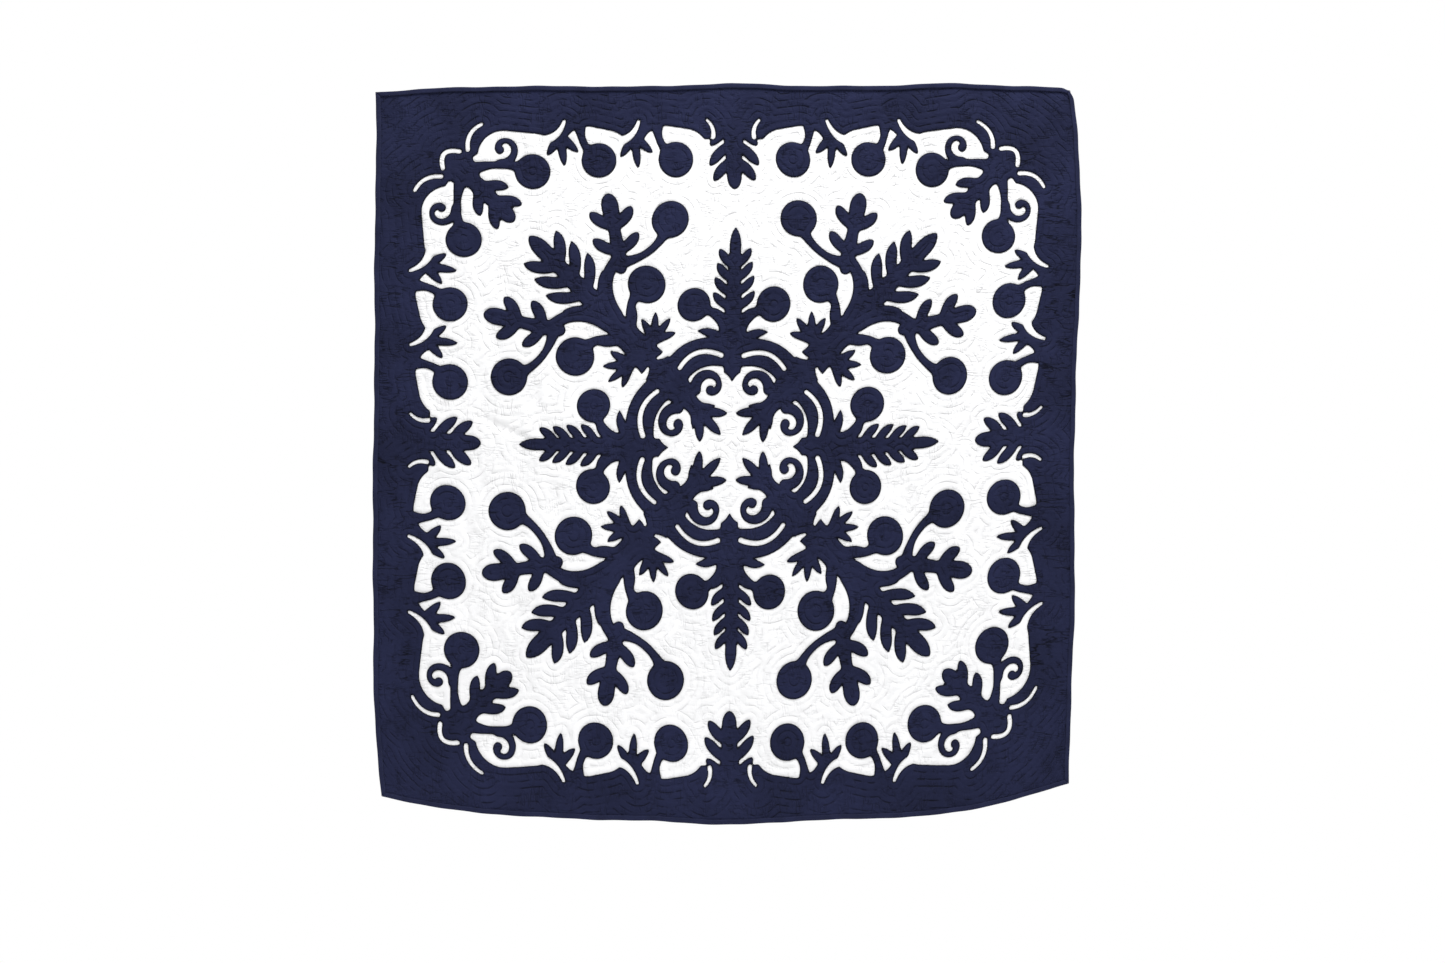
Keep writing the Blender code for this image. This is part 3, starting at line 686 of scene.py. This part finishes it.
def closed_sheet(name, pitch, value_at, fine_at, front, rear):
    """A closed sheet of cloth where value_at is negative.

    The front follows the grid, fine where fine_at holds. The rear has the same rim and few
    inner points. Both are heights over (u, v, on_rim), and a wall joins them at the rim.
    """
    grid = grid_of(pitch)
    tiles = cut_tiles(value_at(grid.u, grid.v), fine_at(grid.u, grid.v))
    flat_u, flat_v = grid.u.ravel(), grid.v.ravel()
    cut_u = flat_u[tiles.inner] + tiles.share * (flat_u[tiles.outer] - flat_u[tiles.inner])
    cut_v = flat_v[tiles.inner] + tiles.share * (flat_v[tiles.outer] - flat_v[tiles.inner])
    kept, faces = np.unique(tiles.faces, return_inverse=True)
    faces = faces.reshape(tiles.faces.shape)
    u = np.concatenate([flat_u, cut_u])[kept]
    v = np.concatenate([flat_v, cut_v])[kept]
    front_points = hung(u, v, front(u, v, kept >= len(flat_u)))
    span_u, span_v = u[faces] - u[faces[:, :1]], v[faces] - v[faces[:, :1]]
    doubled = abs(span_u[:, 1] * span_v[:, 2] - span_u[:, 2] * span_v[:, 1])
    area = doubled.sum() / 2 * SQUARE_METRES

    near = np.searchsorted(kept, tiles.rim)
    rim = tiles.rim - len(flat_u)
    inner, hidden = rear_faces(cut_u, cut_v, rim, value_at)
    rear_u = np.concatenate([cut_u, inner[:, 0]])
    rear_v = np.concatenate([cut_v, inner[:, 1]])
    rear_points = hung(rear_u, rear_v, rear(rear_u, rear_v, np.arange(len(rear_u)) < len(cut_u)))
    hidden, far = hidden[:, ::-1] + len(u), rim + len(u)
    wall = (np.stack([near[:, 1], near[:, 0], far[:, 0]], 1),
            np.stack([near[:, 1], far[:, 0], far[:, 1]], 1))
    obj = mesh_object(name, np.concatenate([front_points, rear_points]),
                      np.concatenate([faces, hidden, *wall]))
    all_u, all_v = np.concatenate([u, rear_u]), np.concatenate([v, rear_v])
    keep_value(obj, "to_edge", read_map(to_edge, all_u, all_v))
    keep_value(obj, "rows_level", read_map(rows_level, all_u, all_v))
    print(f"{name}: {len(obj.data.polygons)} triangles, flat area {area:.3f} square metres")
    return Sheet(obj, area)


def any_corner(ok):
    """True for each cell with a corner where ok holds."""
    return ok[:-1, :-1] | ok[:-1, 1:] | ok[1:, :-1] | ok[1:, 1:]


def everywhere(u, v):
    """True for each cell."""
    return np.ones((len(u) - 1, len(v) - 1), bool)


# %% [markdown]
# Quilting makes the surface. Each row of stitches pulls all layers down into a thin valley, and
# the wadding swells between two rows, so a cut through the rows looks like a chain of low
# arches. The arch is a sine with its flanks steepened, and its height wavers along the rows
# because hand stitches pull unevenly. The first row is the ditch beside each cut edge.

# %% The relief of the quilting
PUFF_WAVER = (Ripple(0.4, 57, 0.6, 0.2), Ripple(0.4, 34, -1.3, 2.7), Ripple(0.4, 23, 0.3, 1.5))
ROW_WAVER = (Ripple(0.8, 71, 0.4, 1.1), Ripple(0.6, 39, -1.7, 0.3), Ripple(0.5, 24, 0.9, 2.2))
CALM_FROM, CALM_TO = 8.0, 24.0
WAVER_FROM = 20
ARCH_POWER = 0.8
PUFF_VARIES = 0.35


def smooth_step(x):
    """0 below 0, 1 above 1, and 3 x squared less 2 x cubed between them."""
    x = np.clip(x, 0, 1)
    return x * x * (3 - 2 * x)


def puff(u, v):
    """0 on the stitch rows and about 1 between them: the sine of the distance, to the power 0.8,
    calmed to nothing near the quilt's edge, where the binding holds it flat."""
    away = read_map(to_edge, u, v)
    away = away + waves(u, v, ROW_WAVER) * smooth_step(away / WAVER_FROM)
    arch = np.abs(np.sin(pi * away / ROW_PITCH)) ** ARCH_POWER
    rim = HALF - np.maximum(np.abs(u), np.abs(v))
    calm = smooth_step((rim - CALM_FROM) / (CALM_TO - CALM_FROM))
    return arch * calm * (1 + PUFF_VARIES * waves(u, v, PUFF_WAVER))


# %% The white top
WHITE_PITCH = 3.6
WHITE_LOW, WHITE_PUFF = 4.0, 1.2
WHITE_UNDER = 3.9
TOP_REAR = 2.9
PANEL_TRIM = 0.6
HIDDEN_BY = 2.0
SHOWS_OVER = 2


def panel_value(u, v):
    """Distance to the panel's own edge, negative inside it."""
    return np.maximum(np.abs(u), np.abs(v)) - (HALF - PANEL_TRIM)


def white_front(u, v, on_rim):
    """Puffed where it shows, and flat and lower under the navy cloths."""
    shows = smooth_step(read_map(navy_map, u, v) / SHOWS_OVER + 0.5)
    return WHITE_UNDER + shows * (WHITE_LOW - WHITE_UNDER + WHITE_PUFF * puff(u, v))


white_top = closed_sheet(
    "white_top", WHITE_PITCH, panel_value,
    lambda u, v: any_corner(read_map(navy_map, u, v) > -HIDDEN_BY),
    white_front, lambda u, v, on_rim: np.full(len(u), TOP_REAR))

# %% The white backing with its wadding
BACKING_PITCH = 4.1
BACK_PUFF = 1.1
BACK_LEVEL = 0.3
WADDING_FACE = 2.6


def backing_rear(u, v, on_rim):
    """The back swells the other way between the rows, less than the front does."""
    return BACK_LEVEL - BACK_PUFF * puff(u, v)


white_back = closed_sheet(
    "white_backing", BACKING_PITCH, panel_value, everywhere,
    backing_rear, lambda u, v, on_rim: np.full(len(u), WADDING_FACE))
# Its fine side looks to the rear, so every face is turned round
white_back.obj.data.flip_normals()

# %% [markdown]
# The navy cloths lie on the white one with their raw edges turned under, so the rim is rounded
# and sits deeper than the middle. Each is one sheet, cut out of its own grid by its own field.

# %% The navy cloths
NAVY_RIM_LOW, NAVY_RIM_HIGH = 3.7, 4.9
NAVY_UNDER = 4.6
NAVY_LOW, NAVY_PUFF = 5.7, 1.0
RIM_ROUND = 2.6
BORDER_PITCH, MEDALLION_PITCH = 3.0, 2.5


def navy_front(u, v, on_rim):
    """A quarter-round rise from the turned rim, then the quilting's puff."""
    inward = np.clip(-read_map(navy_map, u, v) / RIM_ROUND, 0, 1)
    rise = np.where(on_rim, 0, np.sqrt(1 - (1 - inward) ** 2))
    return NAVY_RIM_HIGH + rise * (NAVY_LOW - NAVY_RIM_HIGH + NAVY_PUFF * puff(u, v))


def navy_rear(u, v, on_rim):
    """Flat on the white cloth, and lower at the turned rim."""
    return np.where(on_rim, NAVY_RIM_LOW, NAVY_UNDER)


def navy_cloth(name, pitch, field):
    """A navy sheet where the field is negative, inside the panel's own edge."""
    return closed_sheet(
        name, pitch, lambda u, v: np.maximum(read_map(field, u, v), panel_value(u, v)),
        everywhere, navy_front, navy_rear)


navy_border = navy_cloth("navy_border", BORDER_PITCH, border_map)
navy_medallion = navy_cloth("navy_medallion", MEDALLION_PITCH, medallion_map)

# %% [markdown]
# The binding is a strip folded over the rim and sewn down on both faces. Its section is a flat
# loop with round corners, carried along each side and mitred at the corners, where the
# section is cut on the slant.

# %% The binding
BINDING_THICK = 0.9
BINDING_FRONT = 7.5
BINDING_STEPS = 300
MITRE_GAP = 0.1
BEND_FROM = HALF - 5
BEND_POINTS = 19
BEND_SQUARE = 0.45
PUCKER_HIGH, PUCKERS = 0.18, 95
PUCKER_SWAY, PUCKER_SWAYS = 1.7, 31
PUCKER_ABOVE = 3
BOUND_SIDES = ("top", "left", "bottom", "right")


def folded_section():
    """Round the outside from lip to lip, then back inside.

    Each way round is half an oval whose cosine and sine are taken to the power 0.45, which
    squares its corners, and the inside one is smaller by the cloth's thickness.
    """
    low, high = -BINDING_GAP - BINDING_THICK, BINDING_FRONT
    turn = np.linspace(-pi / 2, pi / 2, BEND_POINTS)
    lip = HALF - BINDING_WIDE
    outline = []
    for inset, way in ((0.0, 1), (BINDING_THICK, -1)):
        middle, half = (low + high) / 2, (high - low) / 2 - inset
        reach = HALF + BINDING_GAP + BINDING_THICK - inset - BEND_FROM
        x = BEND_FROM + reach * np.abs(np.cos(turn)) ** BEND_SQUARE
        y = middle + half * np.sign(np.sin(turn)) * np.abs(np.sin(turn)) ** BEND_SQUARE
        x = np.concatenate([[lip], x, [lip]])
        y = np.concatenate([y[:1], y, y[-1:]])
        outline.append(np.stack([x, y], 1)[::way])
    return np.concatenate(outline)


def binding_strip(name, quarter_turns):
    """A grid of steps along the side by points of the section, closed at both ends by quads.

    Each point's place along the side is the step's share of the point's own reach, which cuts
    the ends on the slant. Sines along the strip pucker its front.
    """
    section = folded_section()
    along = np.linspace(-1, 1, BINDING_STEPS)[:, None]
    reach, height = section.T
    x = along * (reach - MITRE_GAP)
    sway = PUCKER_SWAY * np.sin(along * PUCKER_SWAYS)
    pucker = PUCKER_HIGH * np.sin(2 * pi * along * PUCKERS + sway) * (height > PUCKER_ABOVE)
    c, s = ((1, 0), (0, 1), (-1, 0), (0, -1))[quarter_turns]
    u = x * c - reach * s
    v = x * s + reach * c
    points = hung(u.ravel(), v.ravel(), (height + pucker).ravel())
    count = len(section)
    ring = np.arange(count)
    start = np.arange(BINDING_STEPS - 1)[:, None] * count
    quads = np.stack([start + ring, start + (ring + 1) % count,
                      start + count + (ring + 1) % count, start + count + ring], -1).reshape(-1, 4)
    half = count // 2
    caps = []
    for first, way in ((0, 1), ((BINDING_STEPS - 1) * count, -1)):
        outer = first + np.arange(half - 1)
        inner = first + count - 1 - np.arange(half - 1)
        caps.append(np.stack([outer, inner, inner - 1, outer + 1], 1)[:, ::way])
    faces = np.concatenate([quads] + caps)
    obj = mesh_object(name, points, faces)
    keep_value(obj, "rows_level", np.full(len(points), float(quarter_turns % 2 == 0)))
    print(f"{name}: {2 * len(faces)} triangles")
    return obj


bindings = [binding_strip("navy_binding_" + side, turns)
            for turns, side in enumerate(BOUND_SIDES)]

# %% [markdown]
# Both cottons are plain weaves. The geometry holds the swell between the rows; the material adds
# what is finer: the stitch valley itself, the puckers that run across each row, and the
# threads. The rows are read from the stored distance to the cut edge, so they stay on the
# cloth. Puckers stand across the rows, so two stretched noises are mixed by the rows' direction.

# %% Node helpers
SPECULAR = 0.08
SHEEN_ROUGHNESS = 0.6


def new_material(name, colour, roughness, sheen):
    """A Principled material with its fixed values on the shader's own sockets."""
    material = bpy.data.materials.new(name)
    material.use_nodes = True
    material.diffuse_color = (*colour, 1)
    shader = material.node_tree.nodes["Principled BSDF"]
    shader.inputs["Base Color"].default_value = (*colour, 1)
    shader.inputs["Roughness"].default_value = roughness
    shader.inputs["Specular IOR Level"].default_value = SPECULAR
    shader.inputs["Sheen Weight"].default_value = sheen
    shader.inputs["Sheen Roughness"].default_value = SHEEN_ROUGHNESS
    return material, material.node_tree, shader


def add_node(tree, kind, inputs, **options):
    """A node with its options set, each input given a value or fed from another node's output."""
    made = tree.nodes.new("ShaderNode" + kind)
    for name, option in options.items():
        setattr(made, name, option)
    for socket, value in inputs.items():
        if isinstance(value, bpy.types.NodeSocket):
            tree.links.new(value, made.inputs[socket])
        else:
            made.inputs[socket].default_value = value
    return made


def math_node(tree, operation, *values):
    """The result of a Math node on numbers or on other nodes' outputs."""
    return add_node(tree, "Math", dict(enumerate(values)), operation=operation).outputs[0]


def stretched_noise(tree, scale, detail=2.0):
    """Noise on the object's own coordinates, with its own scale for each axis."""
    place = add_node(tree, "TexCoord", {}).outputs["Object"]
    place = add_node(tree, "Mapping", {"Vector": place, "Scale": scale}).outputs[0]
    noise = {"Vector": place, "Scale": 1.0, "Detail": detail}
    return add_node(tree, "TexNoise", noise).outputs["Fac"]


def ramp(tree, value, low, high, out_low, out_high):
    """A clamped line from one range to another, eased at both ends."""
    inputs = {"Value": value, "From Min": low, "From Max": high,
              "To Min": out_low, "To Max": out_high}
    return add_node(tree, "MapRange", inputs, interpolation_type="SMOOTHSTEP").outputs["Result"]


def read_value(tree, name):
    """The number that keep_value stored for each vertex."""
    return add_node(tree, "Attribute", {}, attribute_name=name).outputs["Fac"]


def raise_surface(tree, shader, height, strength):
    """Bends the shading as if the height, in millimetres, stood on the surface."""
    bump = add_node(tree, "Bump", {"Height": height, "Strength": strength, "Distance": ONE_MM})
    tree.links.new(bump.outputs["Normal"], shader.inputs["Normal"])


def tint(tree, shader, colour, shade):
    """Makes the base colour the colour times a shade."""
    grey = add_node(tree, "CombineColor", {0: shade, 1: shade, 2: shade}).outputs[0]
    inputs = {"Factor": 1.0, 6: (*colour, 1), 7: grey}
    product = add_node(tree, "Mix", inputs, data_type="RGBA", blend_type="MULTIPLY")
    tree.links.new(product.outputs[2], shader.inputs["Base Color"])


# %% Weave and crinkles
THREADS = 560
GROOVE_WIDE = 0.07


def weave(tree):
    """Fine bands across x and across z, added: the threads of a plain weave."""
    place = add_node(tree, "TexCoord", {}).outputs["Object"]
    inputs = {"Vector": place, "Scale": THREADS, "Distortion": 1.0, "Detail": 1.0}
    bands = [add_node(tree, "TexWave", inputs, bands_direction=way).outputs["Fac"] for way in "XZ"]
    return math_node(tree, "ADD", *bands)


def mixed(tree, share, first, second):
    """first times (1 - share) plus second times share."""
    back = math_node(tree, "SUBTRACT", 1.0, share)
    one = math_node(tree, "MULTIPLY", first, back)
    return math_node(tree, "MULTIPLY_ADD", second, share, one)


def grooves(tree, scale):
    """Thin wandering lines, 1 where a stretched noise crosses its middle value and 0 off them."""
    field = stretched_noise(tree, scale, detail=1.5)
    off = math_node(tree, "ABSOLUTE", math_node(tree, "SUBTRACT", field, 0.5))
    return ramp(tree, off, 0.0, GROOVE_WIDE, 1.0, 0.0)


# %% The quilted cottons
Look = namedtuple("Look", "row crinkle rough tone edge_tone cloud")
# Scales of noise run along x, y and z. A ramp has where it starts and ends, and what it gives.
QUILTED_ROUGHNESS = 0.85
WANDER_SCALE, ROW_WANDER = (28, 28, 28), 5.0
VALLEY_WIDE = 2.0
DASH_SCALE, DASH_RAMP = (60, 60, 60), (0.42, 0.60, 0.05, 1.0)
FOLDS_ON_UPRIGHT, FOLDS_ON_LEVEL = (32, 60, 150), (150, 60, 32)
PATCH_SCALE, PATCH_RAMP = (48, 48, 48), (0.40, 0.62, 0.0, 1.0)
ROUGH_SCALE = (95, 95, 190)
WEAVE_HIGH = 0.02
CLOUD_SCALE, CLOUD_FROM, CLOUD_TO = (7, 7, 7), 0.3, 0.7
# Where the painted shade along the cut edge starts and ends, in millimetres from it
EDGE_SHADE_FROM, EDGE_SHADE_TO = 0.6, 3.4


def quilted_cotton(name, colour, sheen, look):
    """Cotton with stitch rows.

    The height is minus row on the stitches, minus crinkle in the folds that cross the rows, plus
    rough unevenness and the weave, all in millimetres. The groove shade is painted shade: how far
    the colour darkens in the stitch valleys of level rows and in the folds of upright rows, as light
    from above would shade them. The edge shade is painted shade along the cut edges, where the
    navy's turned edge rolls under and the white lies beside it, and cloud is how far broad patches
    vary.
    """
    material, tree, shader = new_material(name, colour, QUILTED_ROUGHNESS, sheen)
    away = math_node(tree, "SUBTRACT", read_value(tree, "to_edge"), ROW_WANDER / 2)
    away = math_node(tree, "MULTIPLY_ADD", stretched_noise(tree, WANDER_SCALE), ROW_WANDER, away)
    row = math_node(tree, "PINGPONG", math_node(tree, "DIVIDE", away, ROW_PITCH), 0.5)
    off_row = math_node(tree, "MULTIPLY", row, ROW_PITCH)
    dashes = ramp(tree, stretched_noise(tree, DASH_SCALE), *DASH_RAMP)
    valley = math_node(tree, "MULTIPLY", ramp(tree, off_row, 0.0, VALLEY_WIDE, 1.0, 0.0), dashes)

    level = read_value(tree, "rows_level")
    folds = mixed(tree, level, grooves(tree, FOLDS_ON_UPRIGHT), grooves(tree, FOLDS_ON_LEVEL))
    patches = ramp(tree, stretched_noise(tree, PATCH_SCALE), *PATCH_RAMP)
    folds = math_node(tree, "MULTIPLY", folds, patches)

    height = math_node(tree, "MULTIPLY", valley, -look.row)
    height = math_node(tree, "MULTIPLY_ADD", folds, -look.crinkle, height)
    rough = stretched_noise(tree, ROUGH_SCALE, detail=3.0)
    height = math_node(tree, "MULTIPLY_ADD", rough, look.rough, height)
    height = math_node(tree, "MULTIPLY_ADD", weave(tree), WEAVE_HIGH, height)
    raise_surface(tree, shader, height, 1.0)

    cloudy = stretched_noise(tree, CLOUD_SCALE, detail=3.0)
    shade = ramp(tree, cloudy, CLOUD_FROM, CLOUD_TO, 1 - look.cloud, 1 + look.cloud)
    # Painted shade: stitch valleys on level rows and folds on upright rows darken, as under light
    # from above
    upright = math_node(tree, "SUBTRACT", 1.0, level)
    painted_shade = math_node(tree, "MAXIMUM", math_node(tree, "MULTIPLY", valley, level),
                     math_node(tree, "MULTIPLY", folds, upright))
    shade = math_node(tree, "MULTIPLY_ADD", painted_shade, -look.tone, shade)
    # Painted shade along the cut edge: on the navy where its turned edge rolls under, on the white
    # beside it
    rim = ramp(tree, read_value(tree, "to_edge"), EDGE_SHADE_FROM, EDGE_SHADE_TO, 1 - look.edge_tone, 1.0)
    tint(tree, shader, colour, math_node(tree, "MULTIPLY", shade, rim))
    return material


WHITE = (0.95, 0.95, 0.96)
NAVY = (0.0150, 0.0180, 0.0500)
NAVY_SHEEN = 0.02
# The groove and edge shade of each look are painted shade: they darken level grooves, upright folds
# and the cut edges
WHITE_LOOK = Look(row=0.70, crinkle=0.70, rough=0.50, tone=0.11, edge_tone=0.04, cloud=0.01)
NAVY_LOOK = Look(row=1.1, crinkle=1.3, rough=1.2, tone=0.70, edge_tone=0.75, cloud=0.16)
white_cotton = quilted_cotton("white_cotton", WHITE, 0.0, WHITE_LOOK)
navy_cotton = quilted_cotton("navy_cotton", NAVY, NAVY_SHEEN, NAVY_LOOK)
print("made", white_cotton.name, "and", navy_cotton.name)

# %% The binding's cotton
TAPE_ROUGHNESS, TAPE_SHEEN = 0.82, 0.04
PUCKERS_UPRIGHT, PUCKERS_LEVEL = (240, 60, 30), (30, 60, 240)
TAPE_WEAVE, TAPE_RELIEF = 0.04, 0.8
FADE_SCALE, FADE_RAMP = (40, 40, 40), (0.3, 0.7, 0.85, 1.1)


def tape_cotton(name, colour):
    """Plain woven strip with puckers that stand across its length."""
    material, tree, shader = new_material(name, colour, TAPE_ROUGHNESS, TAPE_SHEEN)
    flat = stretched_noise(tree, PUCKERS_LEVEL, detail=3.0)
    upright = stretched_noise(tree, PUCKERS_UPRIGHT, detail=3.0)
    pucker = mixed(tree, read_value(tree, "rows_level"), flat, upright)
    height = math_node(tree, "MULTIPLY_ADD", weave(tree), TAPE_WEAVE, pucker)
    raise_surface(tree, shader, height, TAPE_RELIEF)
    tint(tree, shader, colour, ramp(tree, stretched_noise(tree, FADE_SCALE), *FADE_RAMP))
    return material


navy_tape = tape_cotton("navy_tape", NAVY)

# %% [markdown]
# Each piece now gets its cotton and its place in the frame: it rides on the quilt's one body,
# and stands for the plain solid that the frame holds, which is hidden. The quilt hangs a little
# taller than wide.


def dress(obj, material, node):
    """Gives a piece its material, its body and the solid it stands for."""
    obj.data.materials.append(material)
    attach(obj, "root")
    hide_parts(node)


dress(white_top.obj, white_cotton, "quilt_panel")
dress(white_back.obj, white_cotton, "quilt_panel")
dress(navy_border.obj, navy_cotton, "border_applique")
dress(navy_medallion.obj, navy_cotton, "medallion_applique")
for strip, side in zip(bindings, BOUND_SIDES):
    dress(strip, navy_tape, "binding_" + side)

# %% [markdown]
# The quilt was photographed square on, against white, in even light with a little more of it
# from above. A long lens looks at the picture's middle, which is a little below the quilt's. The
# floor is a plain pale plane under the quilt, and the white surroundings are the sky's own light.

# %% Camera
LENS_MM, SENSOR_MM = 85.0, 36.0
VIEW_WIDTH = 2.5186
VIEW_CENTRE = (-0.0044, -0.6928)
QUILT_FRONT = 0.006
camera_data = bpy.data.cameras.new("camera")
camera_data.lens = LENS_MM
camera_data.sensor_width = SENSOR_MM
camera = bpy.data.objects.new("camera", camera_data)
camera_y = -VIEW_WIDTH * LENS_MM / SENSOR_MM - QUILT_FRONT
camera.location = (VIEW_CENTRE[0], camera_y, VIEW_CENTRE[1])
camera.rotation_euler = (pi / 2, 0, 0)
bpy.context.scene.collection.objects.link(camera)
bpy.context.scene.camera = camera
print(f"camera {-camera.location.y:.2f} m in front of the quilt")

# %% Floor
FLOOR_LEVEL = -1.62
FLOOR_SIDE, FLOOR_NEAR, FLOOR_FAR = 2.2, -2.6, 0.45
FLOOR_GREY, FLOOR_ROUGHNESS = (0.86, 0.86, 0.86), 0.9
GRAIN_SCALE, GRAIN_RELIEF = (90, 90, 90), 0.05
floor_points = [(side * FLOOR_SIDE, y, FLOOR_LEVEL)
                for side, y in ((-1, FLOOR_NEAR), (1, FLOOR_NEAR), (1, FLOOR_FAR), (-1, FLOOR_FAR))]
floor = mesh_object("floor", floor_points, np.array([[0, 1, 2, 3]]))
floor_material, floor_tree, floor_shader = new_material(
    "pale_floor", FLOOR_GREY, FLOOR_ROUGHNESS, 0.0)
grain = stretched_noise(floor_tree, GRAIN_SCALE, detail=3.0)
raise_surface(floor_tree, floor_shader, grain, GRAIN_RELIEF)
floor.data.materials.append(floor_material)
print(f"floor {-FLOOR_LEVEL} m below the hanging edge")

# %% Light
SKY_STRENGTH, SEEN_STRENGTH = 0.51, 1.0
world = bpy.data.worlds.new("studio")
world.use_nodes = True
bpy.context.scene.world = world
sky = world.node_tree.nodes["Background"]
sky.inputs["Color"].default_value = (1, 1, 1, 1)
sky.inputs["Strength"].default_value = SKY_STRENGTH
seen = add_node(world.node_tree, "Background", {"Color": (1, 1, 1, 1), "Strength": SEEN_STRENGTH})
by_camera = add_node(world.node_tree, "LightPath", {}).outputs["Is Camera Ray"]
either = add_node(
    world.node_tree, "MixShader", {"Fac": by_camera, 1: sky.outputs[0], 2: seen.outputs[0]})
world.node_tree.links.new(
    either.outputs[0], world.node_tree.nodes["World Output"].inputs["Surface"])


def softbox(name, place, aim, size, watts):
    """A square area light at a place, turned to an aim: up by the angle of the aim's height over
    its level distance, and round by that of its sideways part over its forward one."""
    data = bpy.data.lights.new(name, "AREA")
    data.size = size
    data.energy = watts
    light = bpy.data.objects.new(name, data)
    way = np.array(aim) - np.array(place)
    level = np.hypot(way[0], way[1])
    light.rotation_euler = (pi / 2 + np.arctan2(way[2], level), 0, np.arctan2(-way[0], way[1]))
    light.location = place
    bpy.context.scene.collection.objects.link(light)
    print(f"{name}: {watts} W at {place}")


softbox("key", place=(0.7, -1.45, 2.85), aim=(0, 0, -0.98), size=1.2, watts=164)
softbox("fill_behind", place=(-1.4, 2.4, 0.8), aim=(0, 0, -0.75), size=1.6, watts=60)

scene = bpy.context.scene
scene.view_settings.view_transform = "Standard"
scene.view_settings.look = "None"
scene.view_settings.exposure = 0.0
scene.view_settings.gamma = 1.0
